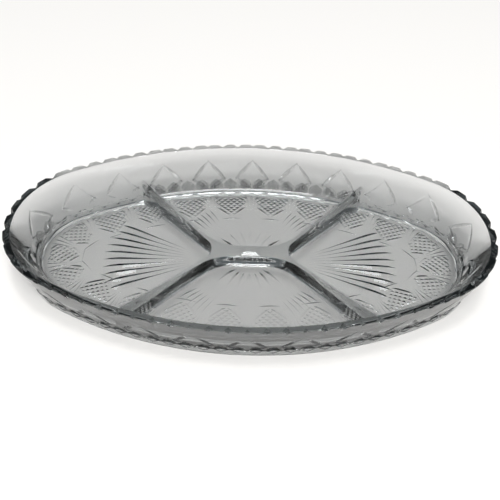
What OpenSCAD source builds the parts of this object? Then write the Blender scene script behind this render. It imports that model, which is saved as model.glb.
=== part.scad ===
// Oval pressed-glass relish dish: flared wall with a notched rim, four low dividers meeting at a hub.
// Origin: centre of the standing face. +X along the length, +Z up, the front of the dish faces -Y.

/* [Dish] */
// overall length over the rim
length = 300; // [280:2:330]
// overall width over the rim
width = 168; // [160:2:186]
// overall height to the top of the rim
height = 34; // [32:0.5:40]
// how far the outside of the wall leans in from rim to heel
flare = 10.5; // [9:0.5:12.5]
// height of the foot ring under the floor
foot_h = 3; // [2:0.25:4]

/* [Glass] */
// thickness of the floor
floor_t = 5; // [4:0.25:6.5]
// thickness of the wall at the lip
lip_t = 4.2; // [3.4:0.2:5.4]
// width of the border that carries the half-round panels
border_w = 39; // [38:0.5:41]

/* [Rim] */
// depth of the notches between the rim's lobes
notch_depth = 2.6; // [1.4:0.1:3]
// share of that depth at the notch over the middle of a diamond
notch_share = 0.6; // [0.4:0.1:1]

/* [Dividers] */
// height of the hub's top above the table
hub_top = 13.5; // [12:0.5:16]
// height of a divider's crest where it meets the wall
divider_top = 20; // [17:0.5:23]
// width of a divider's crest
crest_w = 5; // [3.6:0.2:6]
// half the distance between the two forks of the hub
fork_x = 18; // [14:1:24]
// width of the hub's flat top
hub_w = 10; // [9:0.5:13]
// length of the boss on the hub
boss_l = 15; // [10:0.5:20]
// width of the boss on the hub
boss_w = 8.5; // [6:0.5:9]
// height of the boss above the hub
boss_h = 1.8; // [1:0.1:3]

/* [Cut pattern] */
// depth of the mitre cuts that outline the diamonds on the wall
mitre_depth = 1.2; // [0.6:0.1:1.6]
// depth of the floor rays at their outer ends
ray_depth = 1.6; // [0.8:0.1:2]
// depth of the half-round panels under the border
panel_depth = 0.6; // [0.3:0.1:1.2]
// radius of the half-round panels
panel_r = 10.5; // [8:0.5:11]

/* [Hidden] */
$fn = 96;

// The plan is a four-centre oval: an arc of 120 degrees at each end and of 60 degrees on each side.
end_half = 60;
side_half = 90 - end_half;
end_x = (length - width) / 2 / (tan(end_half) + 1 - 1 / cos(end_half));
end_r = length / 2 - end_x;
side_r = end_r + end_x / cos(end_half);
side_y = side_r - width / 2;

// Pattern periods: eight on a side arc, three on an end arc, three lobes of the rim to a period.
side_periods = 8;
end_periods = 3;
lobes = 3;
side_step = 2 * side_half / side_periods;
end_step = 2 * end_half / end_periods;
// the dividers meet the wall two and a half periods from the middle of a side
divider_period = 2.5;

// Heights of the bands that the wall is built in.
heel_z = foot_h + 3.5;
floor_top = foot_h + floor_t;
border_top = floor_top + 4;
rim_h = 7.5;
rim_z = height - rim_h;
inner_lean = 8.5;
// the foot ring stands a little inside the heel
foot_lean = 0.5;
foot_w = 4.2;
foot_chamfer = 0.8;

// Inward distances from the rim's outer edge, outside and inside, at a height.
function outside(z) = flare * (height - z) / (height - heel_z);
function inside(z) = lip_t + (flare + inner_lean - lip_t) * (height - z) / (height - border_top);

// The cove between wall and floor, from the border's top down to the floor.
cove_w = 8;
cove_steps = 6;
cove = [for (i = [0:cove_steps])
  let (q = 90 * i / cove_steps)
  [-inside(border_top) - cove_w * (1 - cos(q)), floor_top + (border_top - floor_top) * (1 - sin(q))]];

// The floor inside the border is a twelve-sided slab, with its corners at these angles of the arcs.
plate_side = 20;
plate_end = 36;
function side_point(angle, inset) =
  [(side_r - inset) * sin(angle), (side_r - inset) * cos(angle) - side_y];
function end_point(angle, inset) =
  [end_x + (end_r - inset) * cos(angle), (end_r - inset) * sin(angle)];
plate_quarter = [end_point(plate_end, border_w), side_point(plate_side, border_w)];
plate_outline = concat(
  [end_point(0, border_w)], plate_quarter,
  [side_point(0, border_w)], [for (i = [1, 0]) [-plate_quarter[i][0], plate_quarter[i][1]]],
  [-end_point(0, border_w)], -plate_quarter,
  [-side_point(0, border_w)], [for (i = [1, 0]) [plate_quarter[i][0], -plate_quarter[i][1]]]
);
// the border is swept this far in before the slab is cut out of it
border_in = border_w + 6;

// Cross-sections of the bands, with x as the inward distance, negative.
rim_section = [[0, height], [-lip_t, height], [-inside(rim_z), rim_z], [-outside(rim_z), rim_z]];
wall_section = [
  [-outside(rim_z), rim_z], [-inside(rim_z), rim_z],
  [-inside(border_top), border_top], [-outside(border_top), border_top]
];
border_section = concat(
  [[-outside(border_top), border_top]], cove,
  [[-border_in, floor_top], [-border_in, foot_h], [-flare - foot_lean, foot_h], [-flare, heel_z]]
);
foot_section = [
  [-flare - foot_lean, foot_h], [-flare - foot_lean - foot_w, foot_h],
  [-flare - foot_lean - foot_w + foot_chamfer, 0], [-flare - foot_lean - foot_chamfer, 0]
];
// the space inside the wall, which the dividers fill, reaches past the hub
space_in = border_w + 60;
space_section = concat(
  [[-space_in, height], [-space_in, floor_top], [-border_w, floor_top]],
  [for (i = [cove_steps:-1:0]) cove[i]],
  [[-inside(rim_z), rim_z], [-lip_t, height]]
);

// Sweeps of a cross-section round the arcs of the oval. Angles on a side run from the middle towards +X.
module side_arc(from, to)
  translate([0, -side_y, 0])
    rotate([0, 0, 90 - to])
      rotate_extrude(angle = to - from)
        translate([side_r, 0])
          children();

module end_arc(from, to)
  translate([end_x, 0, 0])
    rotate([0, 0, from])
      rotate_extrude(angle = to - from)
        translate([end_r, 0])
          children();

// The bands are parted where the arcs meet: one stretch for each side and one for each end.
module back_sweep()
  side_arc(-side_half, side_half)
    children();

module right_sweep()
  end_arc(-end_half, end_half)
    children();

// Places a cutter at an angle of an arc: x outward from the arc's centre.
module at_side(angle)
  translate([0, -side_y, 0])
    rotate([0, 0, 90 - angle])
      children();

module at_end(angle)
  translate([end_x, 0, 0])
    rotate([0, 0, angle])
      children();

// A notch: a V-shaped cut across the outer edge of the lip, half-way between its top and its side.
notch_half_angle = 45;
notch_tilt = 45;
notch_run = 16;
notch_mouth = 2;
module notch(r, deep) {
  half = (deep + notch_mouth) * tan(notch_half_angle);
  translate([r, 0, height])
    rotate([0, notch_tilt, 0])
      translate([-notch_run / 2, 0, 0])
        rotate([90, 0, 90])
          linear_extrude(notch_run)
            polygon([[-half, notch_mouth], [half, notch_mouth], [0, -deep]]);
}

// Depth of a notch by its place: every third one stands over the middle of a diamond.
function notch_deep(i) = i % lobes == 0 ? notch_share * notch_depth : notch_depth;

module side_notches()
  for (i = [-side_periods * lobes / 2:side_periods * lobes / 2])
    at_side(i * side_step / lobes)
      notch(side_r, notch_deep(i));

// the outer notches of an end stand a hair past its faces, so that their edges don't lie in them
notch_past = 0.02;
module end_notches()
  for (i = [0:end_periods * lobes])
    at_end((i * end_step / lobes - end_half) * (1 + notch_past / end_half))
      notch(end_r, notch_deep(i));

// A diamond of mitre cuts: four straight V-shaped strokes from two apexes low on the wall.
mitre_reach = 0.36;
mitre_half_angle = 45;
mitre_mid = border_top + 2.5;
mitre_high = rim_z - 1;
mitre_low = heel_z + 0.5;

function on_wall(r, angle, z) = [(r - outside(z)) * cos(angle), (r - outside(z)) * sin(angle), z];
function unit(v) = v / norm(v);

module mitre_arm(apex, tip) {
  along = unit(tip - apex);
  across = unit(cross(unit([apex[0], apex[1], 0]), along));
  out = cross(along, across);
  // an arm starts a little before the apex, so that two arms run into each other
  start = apex - along;
  mouth = 1.5;
  half = (mitre_depth + mouth) * tan(mitre_half_angle);
  multmatrix([
    [along[0], across[0], out[0], start[0]],
    [along[1], across[1], out[1], start[1]],
    [along[2], across[2], out[2], start[2]],
    [0, 0, 0, 1]
  ])
    rotate([90, 0, 90])
      linear_extrude(norm(tip - start))
        polygon([[-half, mouth], [half, mouth], [0, -mitre_depth]]);
}

// One half of a diamond, towards +1 or away from -1 the rising angle of the arc, above or below its apex.
module mitre_half(r, step, side, upper)
  mitre_arm(on_wall(r, side * mitre_reach * step, mitre_mid),
    on_wall(r, 0, upper ? mitre_high : mitre_low));

// the diamonds where side and end arcs meet are cut half on each
module meeting_diamonds(upper)
  for (m = [0, 1])
    mirror([m, 0, 0]) {
      at_side(side_half)
        mitre_half(side_r, side_step, 1, upper);
      at_end(end_half)
        mitre_half(end_r, end_step, -1, upper);
    }

module back_diamonds(upper) {
  for (p = [1 - side_periods / 2:side_periods / 2 - 1])
    for (side = [-1, 1])
      at_side(p * side_step)
        mitre_half(side_r, side_step, side, upper);
  meeting_diamonds(upper);
}

module right_diamonds(upper)
  for (m = [0, 1])
    mirror([0, m, 0]) {
      for (side = [-1, 1])
        at_end(end_step / 2)
          mitre_half(end_r, end_step, side, upper);
      meeting_diamonds(upper);
    }

// A half-round panel under the border, its round side towards the middle of the dish.
panel_in = 17.5;
// places of the panels on a side, in periods; none lies under a divider
panel_places = [-3.5, -1.5, -0.5, 0.5, 1.5, 3.5];
module panel(r)
  translate([r - flare - panel_in, 0, foot_h - 1])
    cylinder(r = panel_r, h = panel_depth + 1);

// Bands of the wall, for the back and for the right-hand end.
module rim_back_half()
  difference() {
    back_sweep()
      polygon(rim_section);
    side_notches();
  }

module rim_right_half()
  difference() {
    right_sweep()
      polygon(rim_section);
    end_notches();
  }

module wall_back_half()
  difference() {
    back_sweep()
      polygon(wall_section);
    back_diamonds(true);
    back_diamonds(false);
  }

module wall_right_half()
  difference() {
    right_sweep()
      polygon(wall_section);
    right_diamonds(true);
    right_diamonds(false);
  }

module floor_slab()
  linear_extrude(floor_t)
    polygon(plate_outline);

module slab_space()
  translate([0, 0, foot_h - 1])
    linear_extrude(floor_t + 2)
      polygon(plate_outline);

module border_back_half()
  difference() {
    back_sweep()
      polygon(border_section);
    slab_space();
    for (p = panel_places)
      at_side(p * side_step)
        panel(side_r);
    back_diamonds(false);
  }

module border_right_half()
  difference() {
    right_sweep()
      polygon(border_section);
    slab_space();
    for (p = [-1:1])
      at_end(p * end_step)
        panel(end_r);
    right_diamonds(false);
  }

// A V-shaped ray under the floor, deeper and so wider towards its outer end.
ray_half_angle = 55;
module ray(from, to, angle, deep) {
  start_depth = 0.15;
  below = 3;
  run = to - from;
  half = (start_depth + below) * tan(ray_half_angle);
  rotate([0, 0, angle])
    translate([from, 0, 0])
      rotate([0, -atan((deep - start_depth) / run), 0])
        rotate([90, 0, 90])
          linear_extrude(run)
            polygon([[-half, -below], [half, -below], [0, start_depth]]);
}

// Long fans in the end compartments, strips along the dividers and short bursts beside the hub.
fan_rays = 10;
fan_past = 4;
fan_spread = 50;
fan_in = 10;
fan_out = 62;
strip_rays = 6;
strip_from = 39;
strip_step = 4;
strip_in = 34;
strip_out = 46;
burst_rays = 7;
burst_step = 15;
burst_in = 12;
burst_out = 26;
short_share = 0.75;

module floor_rays() {
  for (m = [0, 1])
    mirror([m, 0, 0])
      translate([fork_x + fan_past, 0, 0])
        for (i = [0:fan_rays - 1])
          ray(fan_in, fan_out, fan_spread * (i / (fan_rays - 1) - 0.5), ray_depth);
  for (m = [0, 1])
    for (n = [0, 1])
      mirror([m, 0, 0])
        mirror([0, n, 0])
          for (i = [0:strip_rays - 1])
            ray(strip_in, strip_out, strip_from + strip_step * i, short_share * ray_depth);
  for (m = [0, 1])
    mirror([0, m, 0])
      for (i = [0:burst_rays - 1])
        ray(burst_in, burst_out, 90 + burst_step * (i - (burst_rays - 1) / 2), short_share * ray_depth);
}

// A divider: a rib whose crest climbs from the hub to the wall.
// it aims at a place on the inside of the wall, this far in from the rim
aim_inset = 16;
divider_aim = side_point(divider_period * side_step, aim_inset) - [fork_x, 0];
divider_angle = atan2(divider_aim[1], divider_aim[0]);
divider_run = norm(divider_aim);
divider_over = 32;
divider_cut = 8;
climb = atan((divider_top - hub_top) / divider_run);
rib_draft = 11;
module rib_bar() {
  half = crest_w / 2;
  shoulder = 0.8;
  drop = 26;
  foot = half + (drop - shoulder) * tan(rib_draft);
  translate([fork_x, 0, hub_top])
    rotate([0, 0, divider_angle])
      rotate([0, -climb, 0])
        rotate([90, 0, 90])
          linear_extrude(divider_run + divider_over + divider_cut)
            polygon([
              [-foot, -drop], [foot, -drop], [half, -shoulder],
              [half - shoulder, 0], [shoulder - half, 0], [-half, -shoulder]
            ]);
}

// The stretch of a rib between two upright planes across it, above the floor.
stretch_w = 40;
module rib_stretch(from, to)
  intersection() {
    rib_bar();
    translate([fork_x, 0, floor_top])
      rotate([0, 0, divider_angle])
        translate([from, -stretch_w / 2, 0])
          cube([to - from, stretch_w, height]);
  }

module back_right_rib()
  intersection() {
    rib_stretch(divider_cut, divider_run + divider_over);
    side_arc(0, side_half)
      polygon(space_section);
  }

// The hub: a wide bar between two forks, with the first stretch of each divider.
module hub_bar() {
  top_half = hub_w / 2;
  foot_half = top_half + 3.5;
  bevel = 1.2;
  translate([-fork_x - 2, 0, 0])
    rotate([90, 0, 90])
      linear_extrude(2 * fork_x + 4)
        polygon([
          [-foot_half, floor_top], [foot_half, floor_top],
          [top_half, hub_top - bevel], [top_half - bevel, hub_top],
          [bevel - top_half, hub_top], [-top_half, hub_top - bevel]
        ]);
}

// The boss on the hub: a low block whose four sides slope, sunk a little into the hub.
boss_sunk = 0.5;
boss_slope = 2;
function boss_face(size) =
  [[-size / 2, hub_top - boss_sunk], [size / 2, hub_top - boss_sunk],
   [size / 2 - boss_slope, hub_top + boss_h], [boss_slope - size / 2, hub_top + boss_h]];
module boss()
  intersection() {
    translate([0, boss_w, 0])
      rotate([90, 0, 0])
        linear_extrude(2 * boss_w)
          polygon(boss_face(boss_l));
    translate([-boss_l, 0, 0])
      rotate([90, 0, 90])
        linear_extrude(2 * boss_l)
          polygon(boss_face(boss_w));
  }

glass = [0.80, 0.88, 0.88, 0.6];

module base_plate()
  color(glass)
    translate([0, 0, foot_h])
      difference() {
        floor_slab();
        floor_rays();
      }

module foot_back()
  color(glass)
    back_sweep()
      polygon(foot_section);

module foot_front()
  color(glass)
    mirror([0, 1, 0])
      back_sweep()
        polygon(foot_section);

module foot_right()
  color(glass)
    right_sweep()
      polygon(foot_section);

module foot_left()
  color(glass)
    mirror([1, 0, 0])
      right_sweep()
        polygon(foot_section);

module border_back()
  color(glass)
    border_back_half();

module border_front()
  color(glass)
    mirror([0, 1, 0])
      border_back_half();

module border_right()
  color(glass)
    border_right_half();

module border_left()
  color(glass)
    mirror([1, 0, 0])
      border_right_half();

module wall_back()
  color(glass)
    wall_back_half();

module wall_front()
  color(glass)
    mirror([0, 1, 0])
      wall_back_half();

module wall_right()
  color(glass)
    wall_right_half();

module wall_left()
  color(glass)
    mirror([1, 0, 0])
      wall_right_half();

module rim_back()
  color(glass)
    rim_back_half();

module rim_front()
  color(glass)
    mirror([0, 1, 0])
      rim_back_half();

module rim_right()
  color(glass)
    rim_right_half();

module rim_left()
  color(glass)
    mirror([1, 0, 0])
      rim_right_half();

module divider_back_right()
  color(glass)
    back_right_rib();

module divider_back_left()
  color(glass)
    mirror([1, 0, 0])
      back_right_rib();

module divider_front_right()
  color(glass)
    mirror([0, 1, 0])
      back_right_rib();

module divider_front_left()
  color(glass)
    mirror([1, 0, 0])
      mirror([0, 1, 0])
        back_right_rib();

module hub()
  color(glass)
    union() {
      hub_bar();
      boss();
      for (m = [0, 1])
        for (n = [0, 1])
          mirror([m, 0, 0])
            mirror([0, n, 0])
              rib_stretch(0, divider_cut);
    }

base_plate();
foot_front();
foot_back();
foot_left();
foot_right();
border_front();
border_back();
border_left();
border_right();
wall_front();
wall_back();
wall_left();
wall_right();
rim_front();
rim_back();
rim_left();
rim_right();
divider_front_left();
divider_front_right();
divider_back_left();
divider_back_right();
hub();
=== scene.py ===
import math

import bmesh
import bpy
from bpy.props import FloatProperty, PointerProperty, StringProperty
from mathutils import Matrix, Vector


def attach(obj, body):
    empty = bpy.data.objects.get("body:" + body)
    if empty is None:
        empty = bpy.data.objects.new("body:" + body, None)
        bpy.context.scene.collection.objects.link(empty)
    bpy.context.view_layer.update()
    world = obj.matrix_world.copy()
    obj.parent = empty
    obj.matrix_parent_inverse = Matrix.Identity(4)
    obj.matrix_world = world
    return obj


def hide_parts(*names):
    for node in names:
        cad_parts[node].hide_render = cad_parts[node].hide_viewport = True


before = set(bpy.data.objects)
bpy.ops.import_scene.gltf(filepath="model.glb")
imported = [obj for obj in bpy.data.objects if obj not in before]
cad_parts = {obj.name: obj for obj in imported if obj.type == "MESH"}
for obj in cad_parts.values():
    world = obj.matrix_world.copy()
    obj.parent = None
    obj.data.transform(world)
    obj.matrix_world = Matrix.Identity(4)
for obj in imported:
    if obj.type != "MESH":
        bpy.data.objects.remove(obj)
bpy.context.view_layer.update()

bl_info = {
    "name": "Divided oval relish dish",
    "version": (1, 0, 0),
    "blender": (4, 5, 0),
    "location": "3D View > Sidebar > Relish Dish",
    "description": "Presses an oval relish dish with four dividers and its imitation-cut pattern",
    "category": "Add Mesh",
}

MM = 0.001
DISH = "pressed_glass_dish"
END_HALF = math.radians(60)
SIDE_HALF = math.radians(30)
SIDE_PERIODS = 8
END_PERIODS = 3
PERIODS = 2 * (SIDE_PERIODS + END_PERIODS)
LOBES = 3
# how far in from the rim the swept section stops; the floor inside it is one flat face
MIDDLE = 47 * MM
ARC_STEPS = 96

# section of foot, heel and cove
HEEL_RISE = 3.5 * MM
COVE_RISE = 4 * MM
COVE_RUN = 8 * MM
COVE_STEPS = 9
WALL_LEAN = 8.5 * MM
FOOT_SET_IN = 0.5 * MM
FOOT_WIDTH = 4.2 * MM
FOOT_TAPER = 0.8 * MM
WALL_LEVELS = (12 * MM, 18 * MM, 24 * MM, 29 * MM)
SHARP_EDGE = math.radians(35)
LIP_BAND = 0.1 * MM
HEEL_ROUND = 0.5 * MM
LIP_ROUND = 0.2 * MM

# dividers, hub and boss
RIB_REACH = 92 * MM
RIB_CLIMB_RUN = 76 * MM
RIB_SUNK = 0.05 * MM
HUB_ROUND = 9 * MM
FORK_ROUND = 4 * MM
FLANK_STEPS = 36
FLANK_ARC = 9.4 * MM
FLANK_STEEPEST = math.radians(66)
FLANK_TURNING = 0.64
FLANK_POWER = 1.2
BOSS_SIZE = (14.5 * MM, 9.5 * MM, 2.2 * MM)
BOSS_TOP_SHARE = 0.52
BOSS_ROUND = 0.6 * MM
BOSS_MIDDLE = 0.65 * MM

# notches, mitres and flutes of the outside
NOTCH_LENGTH = 26 * MM
NOTCH_SPREAD = 0.095
NOTCH_TILT = math.radians(45)
SHALLOW_NOTCH = 0.75
DEEP_NOTCH = 1.15
MITRE_MIDDLE = 11.5 * MM
MITRE_HIGH = 23.5 * MM
MITRE_LOW = 4.5 * MM
MITRE_ASIDE = 0.2
MITRE_APEX = 0.36
MITRE_PEAK = 0.4
MITRE_PAST = 1.5 * MM
FLUTE_FOOT = 2.5 * MM
FLUTE_MIDDLE = 8 * MM
FLUTE_LENGTH = 9 * MM
FLUTE_DEPTH = 0.8 * MM
FLUTE_HALF_SHARE = 0.5

# rays under the floor
RAYS_IN_FAN = 10
FAN_SPREAD = math.radians(50)
FAN_PAST_FORK = 5 * MM
FAN_START = 8 * MM
LONG_RAY = 62 * MM
LONG_RAY_HALF = 1.9 * MM
RAYS_IN_STRIP = 6
STRIP_FROM = 39
STRIP_PACE = 4
STRIP_START = 39.5 * MM
STRIP_RAY = 15 * MM
STRIP_RAY_HALF = 0.8 * MM
STRIP_DEPTH_SHARE = 0.4
RAYS_IN_BURST = 7
BURST_PACE = math.radians(15)
BURST_START = 11.5 * MM
BURST_RAY = 16 * MM
BURST_RAY_HALF = 1.6 * MM
BURST_DEPTH_SHARE = 0.75

# hobnail panels under the border and the lines between them
PANEL_INSET = 22.5 * MM
PANEL_TALL = 20 * MM
PANEL_BELLY = 0.3
PANEL_FILL = 0.42
HOBNAIL_HALF_SHARE = 0.46
HOBNAIL_DEPTH_SHARE = 0.12
HOBNAIL_SLANT = math.radians(45)
FAN_LINES = 5
FAN_LINE_PACE = 11
FAN_LINE = 18 * MM
FAN_LINE_HALF = 0.9 * MM
FAN_LINE_DEPTH = 0.28 * MM
FAN_LINE_INSET = 42 * MM
FAN_LINE_START = 3.5 * MM
EDGE_LINE = 14 * MM
EDGE_LINE_HALF = 0.7 * MM
EDGE_LINE_DEPTH = 0.25 * MM
EDGE_LINE_GAP = 2.2 * MM

# stage
LAMP_AWAY = 2.4
FLOOR_HALF = 4
CAMERA_AWAY = 0.480
CAMERA_RAISED = math.radians(42.3)
CAMERA_ROLL = math.radians(1.71)
CEILING_FROM = 0.74
CEILING_FULL = 0.88
CEILING_STRENGTH = 0.8
SWEEP_FULL = 0.06
SWEEP_END = 0.14
ROOM_COLOUR = (0.30, 0.31, 0.32, 1)
DIM_COLOUR = (0.13, 0.15, 0.16, 1)
DIM_RAISED = math.radians(40)
DIM_EDGE = math.radians(40)
DIM_FULL = math.radians(22)
# sockets of a mix node that mixes colours
MIX_FIRST = 6
MIX_SECOND = 7
MIX_RESULT = 2
# name, degrees turned from the front, degrees raised, width and height in metres, watts
LAMPS = (
    ("window_lamp", 5, 54, (1.20, 0.80), 38),
    ("ceiling_lamp", 8, 80, (0.34, 0.40), 11),
)


class DishSizes(bpy.types.PropertyGroup):
    """Sizes of the pressing"""

    length: FloatProperty(
        name="Length", description="Overall length over the rim", default=0.300, unit="LENGTH")
    width: FloatProperty(
        name="Width", description="Overall width over the rim", default=0.168, unit="LENGTH")
    height: FloatProperty(
        name="Height", description="Height to the top of the rim", default=0.034, unit="LENGTH")
    flare: FloatProperty(
        name="Flare", description="How far the wall leans in from rim to heel", default=0.0105,
        unit="LENGTH")
    foot_height: FloatProperty(
        name="Foot height", description="Height of the foot ring", default=0.003, unit="LENGTH")
    floor: FloatProperty(
        name="Floor thickness", description="Thickness of the floor", default=0.005, unit="LENGTH")
    lip: FloatProperty(
        name="Lip thickness", description="Thickness of the wall at the lip", default=0.0042, unit="LENGTH")
    hub_top: FloatProperty(
        name="Hub top", description="Height of the hub's top above the table", default=0.0135,
        unit="LENGTH")
    divider_top: FloatProperty(
        name="Divider top", description="Height of a divider where it meets the wall", default=0.020,
        unit="LENGTH")
    rib_foot: FloatProperty(
        name="Divider foot", description="Width of a divider at the floor", default=0.0148, unit="LENGTH")
    fork: FloatProperty(
        name="Fork", description="Half the distance between the hub's two forks", default=0.018,
        unit="LENGTH")
    hub_foot: FloatProperty(
        name="Hub foot", description="Width of the hub at the floor", default=0.0225, unit="LENGTH")
    divider_angle: FloatProperty(
        name="Divider angle", description="Angle of a divider to the length", default=math.radians(46),
        subtype="ANGLE")


class PatternSizes(bpy.types.PropertyGroup):
    """Sizes of the imitation-cut pattern"""

    notch_depth: FloatProperty(
        name="Notch depth", description="Depth of the notches between the rim's lobes", default=0.0026,
        unit="LENGTH")
    mitre_depth: FloatProperty(
        name="Mitre depth", description="Depth of the diamond mitres on the wall", default=0.0007,
        unit="LENGTH")
    mitre_width: FloatProperty(
        name="Mitre width", description="Width of a mitre at its widest", default=0.0028, unit="LENGTH")
    ray_depth: FloatProperty(
        name="Ray depth", description="Depth of the long rays under the floor", default=0.0006,
        unit="LENGTH")
    hobnail: FloatProperty(
        name="Hobnail pitch", description="Distance between two hobnails", default=0.0029, unit="LENGTH")
    panel_radius: FloatProperty(
        name="Panel radius", description="Radius of a half-round hobnail panel", default=0.0125,
        unit="LENGTH")


class DishColours(bpy.types.PropertyGroup):
    """Colours of the glass and the stage"""

    glass_tint: StringProperty(
        name="Glass tint", description="sRGB hex of the light that the glass lets through",
        default="b2b7b8")
    glass_density: FloatProperty(
        name="Glass density", description="How strongly the glass takes up light, per metre", default=55.0)
    floor_white: StringProperty(
        name="Floor", description="sRGB hex of the studio floor", default="f8f6f3")


def linear(hex_colour):
    """sRGB hex as linear RGBA."""
    values = []
    for i in (0, 2, 4):
        c = int(hex_colour[i:i + 2], 16) / 255
        values.append(c / 12.92 if c <= 0.04045 else ((c + 0.055) / 1.055) ** 2.4)
    return (*values, 1.0)


def add_node(tree, kind, settings=None, values=None, links=None):
    """Adds a node, sets its properties and socket values, and links sockets from other nodes."""
    node = tree.nodes.new(kind)
    for name, value in (settings or {}).items():
        setattr(node, name, value)
    for name, value in (values or {}).items():
        node.inputs[name].default_value = value
    for name, source in (links or {}).items():
        tree.links.new(source, node.inputs[name])
    return node


class Plan:
    """The four-centre oval and the bands of the wall, from the sizes."""

    def __init__(self, sizes):
        self.sizes = sizes
        gap = (sizes.length - sizes.width) / 2
        self.end_x = gap / (math.tan(END_HALF) + 1 - 1 / math.cos(END_HALF))
        self.end_r = sizes.length / 2 - self.end_x
        self.side_r = self.end_r + self.end_x / math.cos(END_HALF)
        self.side_y = self.side_r - sizes.width / 2
        self.heel_z = sizes.foot_height + HEEL_RISE
        self.floor_top = sizes.foot_height + sizes.floor
        self.border_top = self.floor_top + COVE_RISE

    def outside(self, z):
        sizes = self.sizes
        return sizes.flare * (sizes.height - z) / (sizes.height - self.heel_z)

    def inside(self, z):
        sizes = self.sizes
        run = sizes.flare + WALL_LEAN - sizes.lip
        return sizes.lip + run * (sizes.height - z) / (sizes.height - self.border_top)

    def arcs(self):
        """Centre, radius, middle direction and half sweep of the back, right, front and left arcs."""
        return (
            (Vector((0, -self.side_y, 0)), self.side_r, math.radians(90), SIDE_HALF),
            (Vector((self.end_x, 0, 0)), self.end_r, 0.0, END_HALF),
            (Vector((0, self.side_y, 0)), self.side_r, math.radians(-90), SIDE_HALF),
            (Vector((-self.end_x, 0, 0)), self.end_r, math.radians(180), END_HALF),
        )

    def at(self, k):
        """Centre, radius, direction and period angle at k periods clockwise from the middle of the back."""
        k = (k + SIDE_PERIODS / 2) % PERIODS
        for arc, count in zip(self.arcs(), (SIDE_PERIODS, END_PERIODS, SIDE_PERIODS, END_PERIODS)):
            if k <= count:
                break
            k -= count
        centre, radius, middle, half = arc
        step = 2 * half / count
        return centre, radius, middle + half - k * step, step

    def wall_point(self, k, z, out_by=0.0):
        """A point of the wall's outside at a height, or that far out from it."""
        centre, radius, direction, step = self.at(k)
        out = Vector((math.cos(direction), math.sin(direction), 0))
        lean = math.atan(self.sizes.flare / (self.sizes.height - self.heel_z))
        foot = centre + out * (radius - self.outside(z)) + Vector((0, 0, z))
        return foot + (out * math.cos(lean) - Vector((0, 0, math.sin(lean)))) * out_by


def frame_at(plan, k, inset, z):
    """Matrix at a place of the oval: x along the wall, y inward, z up."""
    centre, radius, direction, step = plan.at(k)
    out = Vector((math.cos(direction), math.sin(direction), 0))
    along = Vector((-out.y, out.x, 0))
    place = centre + out * (radius - inset)
    matrix = Matrix.Identity(4)
    matrix.col[0][:3] = along
    matrix.col[1][:3] = -out
    matrix.col[3][:3] = (place.x, place.y, z)
    return matrix


def spindle(length, half_width, depth, peak=0.5, rings=8, blunt=1.0):
    """A four-sided spindle along x from 0, the shape that a mitre wheel takes out."""
    bm = bmesh.new()
    power = math.log(0.5) / math.log(peak)
    chain = []
    for i in range(rings + 1):
        t = i / rings
        radius = max(math.sin(math.pi * t ** power), 0.0) ** blunt if 0 < i < rings else 0.0
        chain.append(bm.verts.new((length * t, 0, radius)))
    edges = [bm.edges.new(pair) for pair in zip(chain, chain[1:])]
    bmesh.ops.spin(bm, geom=chain + edges, axis=(1, 0, 0), cent=(0, 0, 0), angle=math.tau, steps=4,
                   use_merge=True)
    bmesh.ops.remove_doubles(bm, verts=bm.verts, dist=1e-7)
    bmesh.ops.scale(bm, vec=(1, half_width, depth), verts=bm.verts)
    bmesh.ops.recalc_face_normals(bm, faces=bm.faces)
    return bm


def take_in(bm, part, matrix=None, shape=None):
    """Adds a copy of a part to a bmesh, placed by a matrix or moved point by point."""
    mesh = bpy.data.meshes.new("part")
    part.to_mesh(mesh)
    before = len(bm.verts)
    bm.from_mesh(mesh)
    bpy.data.meshes.remove(mesh)
    bm.verts.ensure_lookup_table()
    fresh = bm.verts[before:]
    if matrix is not None:
        bmesh.ops.transform(bm, matrix=matrix, verts=fresh)
    if shape is not None:
        for vert in fresh:
            vert.co = shape(vert.co)


def new_object(bm, name):
    """Makes a mesh object of a bmesh, with its faces turned outward."""
    bmesh.ops.recalc_face_normals(bm, faces=bm.faces)
    mesh = bpy.data.meshes.new(name)
    bm.to_mesh(mesh)
    bm.free()
    made = bpy.data.objects.new(name, mesh)
    bpy.context.scene.collection.objects.link(made)
    return made


def work(dish, bm, operation):
    """Joins a bmesh to the dish or takes it away, and keeps the result as the dish's mesh."""
    tool = new_object(bm, "tool")
    step = dish.modifiers.new("step", "BOOLEAN")
    step.operation = operation
    step.solver = "MANIFOLD"
    step.object = tool
    graph = bpy.context.evaluated_depsgraph_get()
    result = bpy.data.meshes.new_from_object(dish.evaluated_get(graph))
    before = len(dish.data.polygons)
    dish.modifiers.remove(step)
    old = dish.data
    dish.data = result
    bpy.data.meshes.remove(old)
    bm = bmesh.new()
    bm.from_mesh(result)
    bmesh.ops.triangulate(bm, faces=bm.faces)
    bm.to_mesh(result)
    bm.free()
    tool_mesh = tool.data
    bpy.data.objects.remove(tool)
    bpy.data.meshes.remove(tool_mesh)
    result.name = DISH
    # stray shells are not looked for here, and the cuts of the mitres and heel flutes leave some
    if len(result.polygons) == 0 or len(result.polygons) == before:
        raise RuntimeError("a cut did not change the dish")


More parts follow.
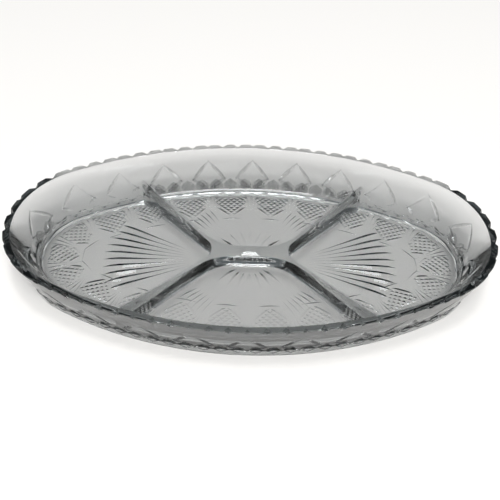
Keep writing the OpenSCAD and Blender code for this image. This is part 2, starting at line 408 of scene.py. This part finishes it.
def sweep(plan, section):
    """Sweeps an open section of inset and height round the oval and closes it above and below."""
    bm = bmesh.new()
    arcs = plan.arcs()
    centre, radius, direction, half = arcs[0]
    start = direction + half
    out = Vector((math.cos(start), math.sin(start), 0))
    chain = [bm.verts.new(centre + out * (radius - s) + Vector((0, 0, z))) for s, z in section]
    profile = chain + [bm.edges.new(pair) for pair in zip(chain, chain[1:])]
    for centre, radius, direction, half in arcs:
        swept = bmesh.ops.spin(bm, geom=profile, cent=centre, axis=(0, 0, -1), angle=2 * half,
                               steps=ARC_STEPS)
        profile = swept["geom_last"]
    bmesh.ops.remove_doubles(bm, verts=bm.verts, dist=0.02 * MM)
    bmesh.ops.edgeloop_fill(bm, edges=[e for e in bm.edges if e.is_boundary])
    if not all(e.is_manifold for e in bm.edges):
        raise RuntimeError("a swept body is not closed")
    bmesh.ops.recalc_face_normals(bm, faces=bm.faces)
    return bm


class DISH_OT_press_body(bpy.types.Operator):
    """Sweeps the section of foot, wall, cove and floor round the oval"""

    bl_idname = "relish_dish.press_body"
    bl_label = "Press body"

    def execute(self, context):
        sizes = context.scene.relish_dish
        plan = Plan(sizes)
        foot_out = sizes.flare + FOOT_SET_IN
        foot_in = foot_out + FOOT_WIDTH
        section = [(MIDDLE, sizes.foot_height), (foot_in, sizes.foot_height), (foot_in - FOOT_TAPER, 0),
                   (foot_out + FOOT_TAPER, 0), (foot_out, sizes.foot_height)]
        section += [(plan.outside(z), z) for z in (plan.heel_z, *WALL_LEVELS, sizes.height)]
        section += [(plan.inside(z), z) for z in (sizes.height, *reversed(WALL_LEVELS[1:]))]
        for i in range(COVE_STEPS + 1):
            q = math.pi / 2 * i / COVE_STEPS
            section.append((plan.inside(plan.border_top) + COVE_RUN * (1 - math.cos(q)),
                            plan.border_top - (plan.border_top - plan.floor_top) * math.sin(q)))
        section.append((MIDDLE, plan.floor_top))
        bm = sweep(plan, section)
        edges = [e for e in bm.edges if e.calc_face_angle() > SHARP_EDGE]
        lip = [e for e in edges if e.verts[0].co.z > sizes.height - LIP_BAND]
        heel = [e for e in edges if e.verts[0].co.z <= sizes.height - LIP_BAND]
        for group, size in ((heel, HEEL_ROUND), (lip, LIP_ROUND)):
            bmesh.ops.bevel(bm, geom=group, offset=size, offset_type="OFFSET", affect="EDGES", segments=3,
                            profile=0.5, material=-1)
        bmesh.ops.triangulate(bm, faces=bm.faces)
        dish = new_object(bm, DISH)
        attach(dish, "root")
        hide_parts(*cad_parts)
        return {"FINISHED"}


class DISH_OT_raise_dividers(bpy.types.Operator):
    """Joins the hub and its four dividers to the floor"""

    bl_idname = "relish_dish.raise_dividers"
    bl_label = "Raise dividers"

    def execute(self, context):
        sizes = context.scene.relish_dish
        plan = Plan(sizes)
        dish = bpy.data.objects[DISH]
        sunk = plan.floor_top - RIB_SUNK
        along = Vector((math.cos(sizes.divider_angle), math.sin(sizes.divider_angle), 0))
        aside = Vector((-along.y, along.x, 0))
        fork = Vector((sizes.fork, 0, 0))
        half = sizes.rib_foot / 2
        hub_half = sizes.hub_foot / 2
        # plan of one quarter: inner corner at the side, the two corners of a rib's end, corner at the hub
        side = fork - aside * half + along * (half * along.x / along.y)
        near = fork + aside * half
        hub_corner = near + along * ((hub_half - near.y) / along.y)
        quarter = [side, fork - aside * half + along * RIB_REACH, fork + aside * half + along * RIB_REACH,
                   hub_corner]
        ring = list(quarter)
        ring += [Vector((-v.x, v.y, 0)) for v in reversed(quarter)]
        ring += [Vector((-v.x, -v.y, 0)) for v in quarter[1:]]
        ring += [Vector((v.x, -v.y, 0)) for v in reversed(quarter[1:])]
        bm = bmesh.new()
        corners = [bm.verts.new(v + Vector((0, 0, sunk))) for v in ring]
        bm.faces.new(corners)
        wide = [v for v in corners if abs(abs(v.co.y) - hub_half) < 0.1 * MM]
        tight = [v for v in corners if abs(v.co.y) < 0.1 * MM]
        bmesh.ops.bevel(bm, geom=wide, offset=HUB_ROUND, offset_type="OFFSET", affect="VERTICES",
                        segments=8, profile=0.5, material=-1)
        bmesh.ops.bevel(bm, geom=tight, offset=FORK_ROUND, offset_type="OFFSET", affect="VERTICES",
                        segments=5, profile=0.5, material=-1)
        bmesh.ops.recalc_face_normals(bm, faces=bm.faces)
        bm.faces.ensure_lookup_table()
        top = bm.faces[0]
        if top.normal.z < 0:
            bmesh.ops.reverse_faces(bm, faces=bm.faces)
        # a wide hollow fillet at the foot that steepens into a narrow round crest, in small steps
        flank = []
        for i in range(FLANK_STEPS):
            share = (i + 0.5) / FLANK_STEPS
            if share < FLANK_TURNING:
                slope = FLANK_STEEPEST * (share / FLANK_TURNING) ** FLANK_POWER
            else:
                past = (share - FLANK_TURNING) / (1 - FLANK_TURNING)
                slope = FLANK_STEEPEST * math.cos(math.pi / 2 * past)
            flank.append((FLANK_ARC / FLANK_STEPS * math.cos(slope),
                          FLANK_ARC / FLANK_STEPS * math.sin(slope)))
        full = sum(upward for inward, upward in flank)
        base = bmesh.ops.extrude_face_region(bm, geom=[top])
        top = [f for f in base["geom"] if isinstance(f, bmesh.types.BMFace)][0]
        for inward, upward in flank:
            bmesh.ops.inset_region(bm, faces=[top], thickness=inward, depth=upward,
                                   use_even_offset=True, use_boundary=True)
        climb = (sizes.divider_top - sizes.hub_top) / RIB_CLIMB_RUN
        for v in bm.verts:
            run = max(0, (abs(v.co.x) - sizes.fork) * along.x + abs(v.co.y) * along.y)
            tall = sizes.hub_top - sunk + climb * run
            v.co.z = sunk + (v.co.z - sunk) * tall / full
        bmesh.ops.remove_doubles(bm, verts=bm.verts, dist=0.001 * MM)
        bmesh.ops.recalc_face_normals(bm, faces=bm.faces)
        bmesh.ops.triangulate(bm, faces=bm.faces)
        ribs = new_object(bm, "ribs")
        low, high = sunk - 2 * MM, sizes.height - 2 * MM
        core = sweep(plan, [(MIDDLE, low), ((plan.inside(low) + plan.outside(low)) / 2, low),
                            ((plan.inside(high) + plan.outside(high)) / 2, high), (MIDDLE, high)])
        bmesh.ops.triangulate(core, faces=core.faces)
        work(ribs, core, "INTERSECT")
        bm = bmesh.new()
        bm.from_mesh(ribs.data)
        rib_mesh = ribs.data
        bpy.data.objects.remove(ribs)
        bpy.data.meshes.remove(rib_mesh)
        work(dish, bm, "UNION")
        boss = bmesh.new()
        bmesh.ops.create_cone(boss, cap_ends=True, segments=4, radius1=math.sqrt(0.5),
                              radius2=math.sqrt(0.5) * BOSS_TOP_SHARE, depth=1)
        square = Matrix.Rotation(math.pi / 4, 3, "Z")
        bmesh.ops.rotate(boss, cent=(0, 0, 0), matrix=square, verts=boss.verts)
        bmesh.ops.scale(boss, vec=BOSS_SIZE, verts=boss.verts)
        upper = [e for e in boss.edges if max(v.co.z for v in e.verts) > 0]
        bmesh.ops.bevel(boss, geom=upper, offset=BOSS_ROUND, offset_type="OFFSET", affect="EDGES",
                        segments=4, profile=0.5, material=-1)
        bmesh.ops.translate(boss, vec=(0, 0, sizes.hub_top + BOSS_MIDDLE), verts=boss.verts)
        work(dish, boss, "UNION")
        return {"FINISHED"}


class DISH_OT_cut_rim(bpy.types.Operator):
    """Cuts the notches between the rim's lobes"""

    bl_idname = "relish_dish.cut_rim"
    bl_label = "Cut rim notches"

    def execute(self, context):
        sizes = context.scene.relish_dish
        pattern = context.scene.relish_pattern
        plan = Plan(sizes)
        dish = bpy.data.objects[DISH]
        bm = bmesh.new()
        for i in range(PERIODS * LOBES):
            # the notch over the middle of a diamond is shallower than the pair beside it
            deep = pattern.notch_depth * (SHALLOW_NOTCH if i % LOBES == 0 else DEEP_NOTCH)
            # the lobes are longer at the ends, and their notches as much wider
            centre, radius, direction, step = plan.at(i / LOBES)
            notch = spindle(NOTCH_LENGTH, NOTCH_SPREAD * deep * step * radius / LOBES / MM, deep, rings=2)
            bmesh.ops.translate(notch, vec=(-NOTCH_LENGTH / 2, 0, 0), verts=notch.verts)
            tilt = Matrix.Rotation(NOTCH_TILT, 4, "X") @ Matrix.Rotation(math.radians(90), 4, "Z")
            take_in(bm, notch, frame_at(plan, i / LOBES, 0, sizes.height) @ tilt)
            notch.free()
        work(dish, bm, "DIFFERENCE")
        return {"FINISHED"}


class DISH_OT_cut_mitres(bpy.types.Operator):
    """Cuts the crossed mitres round the outside of the wall"""

    bl_idname = "relish_dish.cut_mitres"
    bl_label = "Cut wall mitres"

    def execute(self, context):
        sizes = context.scene.relish_dish
        pattern = context.scene.relish_pattern
        plan = Plan(sizes)
        dish = bpy.data.objects[DISH]
        lean = math.atan(sizes.flare / (sizes.height - plan.heel_z))
        for tip in (MITRE_HIGH, MITRE_LOW):
            bm = bmesh.new()
            for k in range(PERIODS):
                for hand in (1, -1):
                    # taken a little to the stroke's side, so that it follows the arc it lies on
                    centre, radius, direction, step = plan.at(k + MITRE_ASIDE * hand)
                    pace = step * (radius - plan.outside(MITRE_MIDDLE))
                    rise = (tip - MITRE_MIDDLE) / math.cos(lean)
                    run = MITRE_APEX * pace
                    stroke = spindle(math.hypot(run, rise) + 2 * MITRE_PAST, pattern.mitre_width / 2,
                                     pattern.mitre_depth, peak=MITRE_PEAK, rings=10)
                    bmesh.ops.translate(stroke, vec=(-MITRE_PAST, 0, 0), verts=stroke.verts)
                    turn = Matrix.Rotation(math.atan2(rise, -hand * run), 3, "Z")
                    bmesh.ops.rotate(stroke, cent=(0, 0, 0), matrix=turn, verts=stroke.verts)
                    bmesh.ops.translate(stroke, vec=(hand * run, 0, 0), verts=stroke.verts)
                    take_in(bm, stroke, shape=lambda co: plan.wall_point(
                        k + co.x / pace, MITRE_MIDDLE + co.y * math.cos(lean), co.z))
                    stroke.free()
            work(dish, bm, "DIFFERENCE")
        return {"FINISHED"}


class DISH_OT_cut_heel(bpy.types.Operator):
    """Cuts the row of short flutes round the heel"""

    bl_idname = "relish_dish.cut_heel"
    bl_label = "Cut heel flutes"

    def execute(self, context):
        plan = Plan(context.scene.relish_dish)
        dish = bpy.data.objects[DISH]
        bm = bmesh.new()
        for i in range(PERIODS * LOBES):
            k = (i + 0.5) / LOBES
            centre, radius, direction, step = plan.at(k)
            pace = step * (radius - plan.outside(FLUTE_MIDDLE))
            flute = spindle(FLUTE_LENGTH, FLUTE_HALF_SHARE * pace / LOBES, FLUTE_DEPTH, rings=6)
            upright = Matrix.Rotation(math.pi / 2, 3, "Z")
            bmesh.ops.rotate(flute, cent=(0, 0, 0), matrix=upright, verts=flute.verts)
            take_in(bm, flute, shape=lambda co: plan.wall_point(k + co.x / pace, FLUTE_FOOT + co.y, co.z))
            flute.free()
        work(dish, bm, "DIFFERENCE")
        return {"FINISHED"}


class DISH_OT_cut_rays(bpy.types.Operator):
    """Cuts the fans, strips and bursts of rays under the floor"""

    bl_idname = "relish_dish.cut_rays"
    bl_label = "Cut floor rays"

    def execute(self, context):
        sizes = context.scene.relish_dish
        pattern = context.scene.relish_pattern
        dish = bpy.data.objects[DISH]
        under = sizes.foot_height
        bm = bmesh.new()
        depth = pattern.ray_depth
        long_ray = spindle(LONG_RAY, LONG_RAY_HALF, depth, peak=0.82, rings=12, blunt=0.7)
        for side in (0, math.pi):
            for i in range(RAYS_IN_FAN):
                turn = side + FAN_SPREAD * (i / (RAYS_IN_FAN - 1) - 0.5)
                start = Matrix.Translation(((sizes.fork + FAN_PAST_FORK) * math.cos(side), 0, under))
                take_in(bm, long_ray, start @ Matrix.Rotation(turn, 4, "Z")
                        @ Matrix.Translation((FAN_START, 0, 0)))
        strip_ray = spindle(STRIP_RAY, STRIP_RAY_HALF, STRIP_DEPTH_SHARE * depth, peak=0.55, rings=6)
        for side_x in (1, -1):
            for side_y in (1, -1):
                for i in range(RAYS_IN_STRIP):
                    turn = math.radians(STRIP_FROM + STRIP_PACE * i)
                    out = math.atan2(side_y * math.sin(turn), side_x * math.cos(turn))
                    take_in(bm, strip_ray, Matrix.Translation((0, 0, under)) @ Matrix.Rotation(out, 4, "Z")
                            @ Matrix.Translation((STRIP_START, 0, 0)))
        burst_ray = spindle(BURST_RAY, BURST_RAY_HALF, BURST_DEPTH_SHARE * depth, peak=0.4, rings=6)
        for side in (1, -1):
            for i in range(RAYS_IN_BURST):
                turn = side * math.pi / 2 + BURST_PACE * (i - RAYS_IN_BURST // 2)
                take_in(bm, burst_ray, Matrix.Translation((0, 0, under)) @ Matrix.Rotation(turn, 4, "Z")
                        @ Matrix.Translation((BURST_START, 0, 0)))
        for part in (long_ray, strip_ray, burst_ray):
            part.free()
        work(dish, bm, "DIFFERENCE")
        return {"FINISHED"}


def arch_chord(start, along, half_width, tall):
    """Where a line enters and leaves a half ellipse that stands on y = 0, or None."""
    a = (along.x / half_width) ** 2 + (along.y / tall) ** 2
    b = start.x * along.x / half_width ** 2 + start.y * along.y / tall ** 2
    c = (start.x / half_width) ** 2 + (start.y / tall) ** 2 - 1
    if b * b - a * c <= 0:
        return None
    root = math.sqrt(b * b - a * c)
    ends = [(-b - root) / a, (-b + root) / a]
    level = -start.y / along.y
    if along.y > 0:
        ends[0] = max(ends[0], level)
    else:
        ends[1] = min(ends[1], level)
    return ends if ends[0] < ends[1] else None


class DISH_OT_cut_panels(bpy.types.Operator):
    """Presses the half-round hobnail panels and the fans of lines between them"""

    bl_idname = "relish_dish.cut_panels"
    bl_label = "Cut hobnail panels"

    def execute(self, context):
        sizes = context.scene.relish_dish
        pattern = context.scene.relish_pattern
        plan = Plan(sizes)
        dish = bpy.data.objects[DISH]
        under = sizes.foot_height
        pitch = pattern.hobnail
        for slant in (1, -1):
            bm = bmesh.new()
            for k in range(PERIODS):
                centre, radius, direction, step = plan.at(k + 0.5)
                place = frame_at(plan, k + 0.5, PANEL_INSET, under)
                room = step * (radius - PANEL_INSET - PANEL_BELLY * PANEL_TALL)
                fit = min(pattern.panel_radius, PANEL_FILL * room)
                turn = slant * HOBNAIL_SLANT
                along = Vector((math.cos(turn), math.sin(turn)))
                aside = Vector((-along.y, along.x))
                # more lines than the panel holds; those that miss it are passed over
                lines = int(1.5 * PANEL_TALL / pitch)
                for i in range(-lines, lines + 1):
                    chord = arch_chord(aside * (i * pitch), along, fit, PANEL_TALL)
                    if chord is None or chord[1] - chord[0] < pitch:
                        continue
                    start = aside * (i * pitch) + along * chord[0]
                    groove = spindle(chord[1] - chord[0], HOBNAIL_HALF_SHARE * pitch,
                                     HOBNAIL_DEPTH_SHARE * pitch, rings=6, blunt=0.3)
                    take_in(bm, groove, place @ Matrix.Translation((start.x, start.y, 0))
                            @ Matrix.Rotation(turn, 4, "Z"))
                    groove.free()
            work(dish, bm, "DIFFERENCE")
        bm = bmesh.new()
        fan_line = spindle(FAN_LINE, FAN_LINE_HALF, FAN_LINE_DEPTH, peak=0.75, rings=6)
        edge_line = spindle(EDGE_LINE, EDGE_LINE_HALF, EDGE_LINE_DEPTH, rings=6)
        for k in range(PERIODS):
            for i in range(FAN_LINES):
                turn = math.radians(-90 + FAN_LINE_PACE * (i - FAN_LINES // 2))
                start = frame_at(plan, k, FAN_LINE_INSET, under)
                take_in(bm, fan_line, start @ Matrix.Rotation(turn, 4, "Z")
                        @ Matrix.Translation((FAN_LINE_START, 0, 0)))
            beyond = frame_at(plan, k + 0.5, PANEL_INSET + PANEL_TALL + EDGE_LINE_GAP, under)
            take_in(bm, edge_line, beyond @ Matrix.Translation((-EDGE_LINE / 2, 0, 0)))
        fan_line.free()
        edge_line.free()
        work(dish, bm, "DIFFERENCE")
        return {"FINISHED"}


class DISH_OT_glass(bpy.types.Operator):
    """Gives the dish its fire-polished pressed glass"""

    bl_idname = "relish_dish.glass"
    bl_label = "Glass"

    def execute(self, context):
        colours = context.scene.relish_colours
        dish = bpy.data.objects[DISH]
        # Soda-lime glass, pressed and fire-polished: clear, grey in thick places,
        # with the faint waviness that a mould leaves.
        glass = bpy.data.materials.new("fire_polished_pressed_glass")
        glass.use_nodes = True
        tree = glass.node_tree
        tree.nodes.clear()
        place = add_node(tree, "ShaderNodeTexCoord")
        wave = add_node(tree, "ShaderNodeTexNoise", values={"Scale": 1 / (14 * MM), "Detail": 1.0},
                        links={"Vector": place.outputs["Object"]})
        ripple = add_node(tree, "ShaderNodeBump", values={"Strength": 0.35, "Distance": 0.12 * MM},
                          links={"Height": wave.outputs["Fac"]})
        surface = add_node(tree, "ShaderNodeBsdfPrincipled",
                           values={"Base Color": (1, 1, 1, 1), "Roughness": 0.0, "IOR": 1.51,
                                   "Transmission Weight": 1.0},
                           links={"Normal": ripple.outputs["Normal"]})
        body = add_node(tree, "ShaderNodeVolumeAbsorption",
                        values={"Color": linear(colours.glass_tint), "Density": colours.glass_density})
        add_node(tree, "ShaderNodeOutputMaterial",
                 links={"Surface": surface.outputs["BSDF"], "Volume": body.outputs["Volume"]})
        dish.data.materials.clear()
        dish.data.materials.append(glass)
        dish.data.shade_smooth()
        dish.data.set_sharp_from_angle(angle=math.radians(8))
        return {"FINISHED"}


class DISH_OT_stage(bpy.types.Operator):
    """Sets up the floor, the soft light and the camera"""

    bl_idname = "relish_dish.stage"
    bl_label = "Stage"

    def execute(self, context):
        scene = context.scene
        colours = scene.relish_colours
        scene.view_settings.view_transform = "Standard"

        bm = bmesh.new()
        bmesh.ops.create_grid(bm, x_segments=1, y_segments=1, size=FLOOR_HALF)
        floor = new_object(bm, "studio_floor")
        paint = bpy.data.materials.new("matt_white_studio_floor")
        paint.use_nodes = True
        tree = paint.node_tree
        tree.nodes.clear()
        grain_place = add_node(tree, "ShaderNodeTexCoord")
        grain = add_node(tree, "ShaderNodeTexNoise", values={"Scale": 1 / (3 * MM), "Detail": 2.0},
                         links={"Vector": grain_place.outputs["Object"]})
        press = add_node(tree, "ShaderNodeBump", values={"Strength": 0.05, "Distance": 0.1 * MM},
                         links={"Height": grain.outputs["Fac"]})
        matt = add_node(tree, "ShaderNodeBsdfDiffuse", values={"Color": linear(colours.floor_white)},
                        links={"Normal": press.outputs["Normal"]})
        add_node(tree, "ShaderNodeOutputMaterial", links={"Surface": matt.outputs[0]})
        floor.data.materials.append(paint)

        world = bpy.data.worlds.new("soft_studio")
        scene.world = world
        world.use_nodes = True
        tree = world.node_tree
        tree.nodes.clear()
        place = add_node(tree, "ShaderNodeTexCoord")
        # a pale sweep all round near the horizon, a room above it that is dim behind the dish,
        # and a broad pale ceiling
        parts = add_node(tree, "ShaderNodeSeparateXYZ", links={"Vector": place.outputs["Generated"]})
        ramp = add_node(tree, "ShaderNodeValToRGB", links={"Fac": parts.outputs["Z"]})
        ramp.color_ramp.elements[0].position = SWEEP_FULL
        ramp.color_ramp.elements[0].color = (1, 1, 1, 1)
        ramp.color_ramp.elements[1].position = SWEEP_END
        ramp.color_ramp.elements[1].color = (0, 0, 0, 1)
        for position, colour in ((CEILING_FROM, (0, 0, 0, 1)), (CEILING_FULL, (1, 1, 1, 1))):
            ramp.color_ramp.elements.new(position).color = colour
        behind = add_node(tree, "ShaderNodeVectorMath", {"operation": "DOT_PRODUCT"},
                          links={0: place.outputs["Generated"]})
        behind.inputs[1].default_value = (0, math.cos(DIM_RAISED), math.sin(DIM_RAISED))
        depth = add_node(tree, "ShaderNodeMapRange",
                         values={"From Min": math.cos(DIM_EDGE), "From Max": math.cos(DIM_FULL)},
                         links={"Value": behind.outputs["Value"]})
        wall = add_node(tree, "ShaderNodeMix", {"data_type": "RGBA"}, links={0: depth.outputs["Result"]})
        wall.inputs[MIX_FIRST].default_value = ROOM_COLOUR
        wall.inputs[MIX_SECOND].default_value = DIM_COLOUR
        sky = add_node(tree, "ShaderNodeMix", {"data_type": "RGBA"},
                       links={0: ramp.outputs["Color"], MIX_FIRST: wall.outputs[MIX_RESULT]})
        sky.inputs[MIX_SECOND].default_value = (1, 1, 1, 1)
        ceiling = add_node(tree, "ShaderNodeMapRange",
                           values={"From Min": CEILING_FROM, "From Max": CEILING_FULL, "To Min": 1.0,
                                   "To Max": CEILING_STRENGTH},
                           links={"Value": parts.outputs["Z"]})
        room = add_node(tree, "ShaderNodeBackground",
                        links={"Color": sky.outputs[MIX_RESULT], "Strength": ceiling.outputs["Result"]})
        add_node(tree, "ShaderNodeOutputWorld", links={"Surface": room.outputs[0]})

        for name, turned, raised, size, power in LAMPS:
            light = bpy.data.lights.new(name, "AREA")
            light.shape = "RECTANGLE"
            light.size, light.size_y = size
            light.energy = power
            lamp = bpy.data.objects.new(name, light)
            spot = Matrix.Rotation(math.radians(turned), 3, "Z") @ Vector(
                (0, -math.cos(math.radians(raised)), math.sin(math.radians(raised)))) * LAMP_AWAY
            lamp.location = spot
            lamp.rotation_euler = (-Vector(spot)).to_track_quat("-Z", "Y").to_euler()
            scene.collection.objects.link(lamp)

        lens = bpy.data.cameras.new("camera")
        lens.sensor_width = 36
        lens.lens = 56.6
        lens.shift_y = -0.0466
        lens.shift_x = -0.0012
        camera = bpy.data.objects.new("camera", lens)
        away = Vector((0, -math.cos(CAMERA_RAISED), math.sin(CAMERA_RAISED))) * CAMERA_AWAY
        aim = Vector((0, 0, scene.relish_dish.height))
        camera.location = aim + away
        turn = (-away).to_track_quat("-Z", "Y").to_matrix().to_4x4() @ Matrix.Rotation(CAMERA_ROLL, 4, "Z")
        camera.rotation_euler = turn.to_euler()
        scene.collection.objects.link(camera)
        scene.camera = camera
        return {"FINISHED"}


class DISH_PT_panel(bpy.types.Panel):
    """Lists the sizes, colours and steps of the dish"""

    bl_idname = "DISH_PT_panel"
    bl_label = "Relish Dish"
    bl_space_type = "VIEW_3D"
    bl_region_type = "UI"
    bl_category = "Relish Dish"

    def draw(self, context):
        scene = context.scene
        for group in (scene.relish_dish, scene.relish_pattern, scene.relish_colours):
            for name in group.__annotations__:
                self.layout.prop(group, name)
        for step in STEPS:
            self.layout.operator(step.bl_idname)


STEPS = (
    DISH_OT_press_body,
    DISH_OT_raise_dividers,
    DISH_OT_cut_rim,
    DISH_OT_cut_mitres,
    DISH_OT_cut_heel,
    DISH_OT_cut_rays,
    DISH_OT_cut_panels,
    DISH_OT_glass,
    DISH_OT_stage,
)
CLASSES = (DishSizes, PatternSizes, DishColours, *STEPS, DISH_PT_panel)


def register():
    for item in CLASSES:
        bpy.utils.register_class(item)
    bpy.types.Scene.relish_dish = PointerProperty(type=DishSizes)
    bpy.types.Scene.relish_pattern = PointerProperty(type=PatternSizes)
    bpy.types.Scene.relish_colours = PointerProperty(type=DishColours)


def unregister():
    del bpy.types.Scene.relish_colours
    del bpy.types.Scene.relish_pattern
    del bpy.types.Scene.relish_dish
    for item in reversed(CLASSES):
        bpy.utils.unregister_class(item)


def main():
    register()
    bpy.ops.relish_dish.press_body()
    bpy.ops.relish_dish.raise_dividers()
    bpy.ops.relish_dish.cut_rim()
    bpy.ops.relish_dish.cut_mitres()
    bpy.ops.relish_dish.cut_heel()
    bpy.ops.relish_dish.cut_rays()
    bpy.ops.relish_dish.cut_panels()
    bpy.ops.relish_dish.glass()
    bpy.ops.relish_dish.stage()


if __name__ == "__main__":
    main()
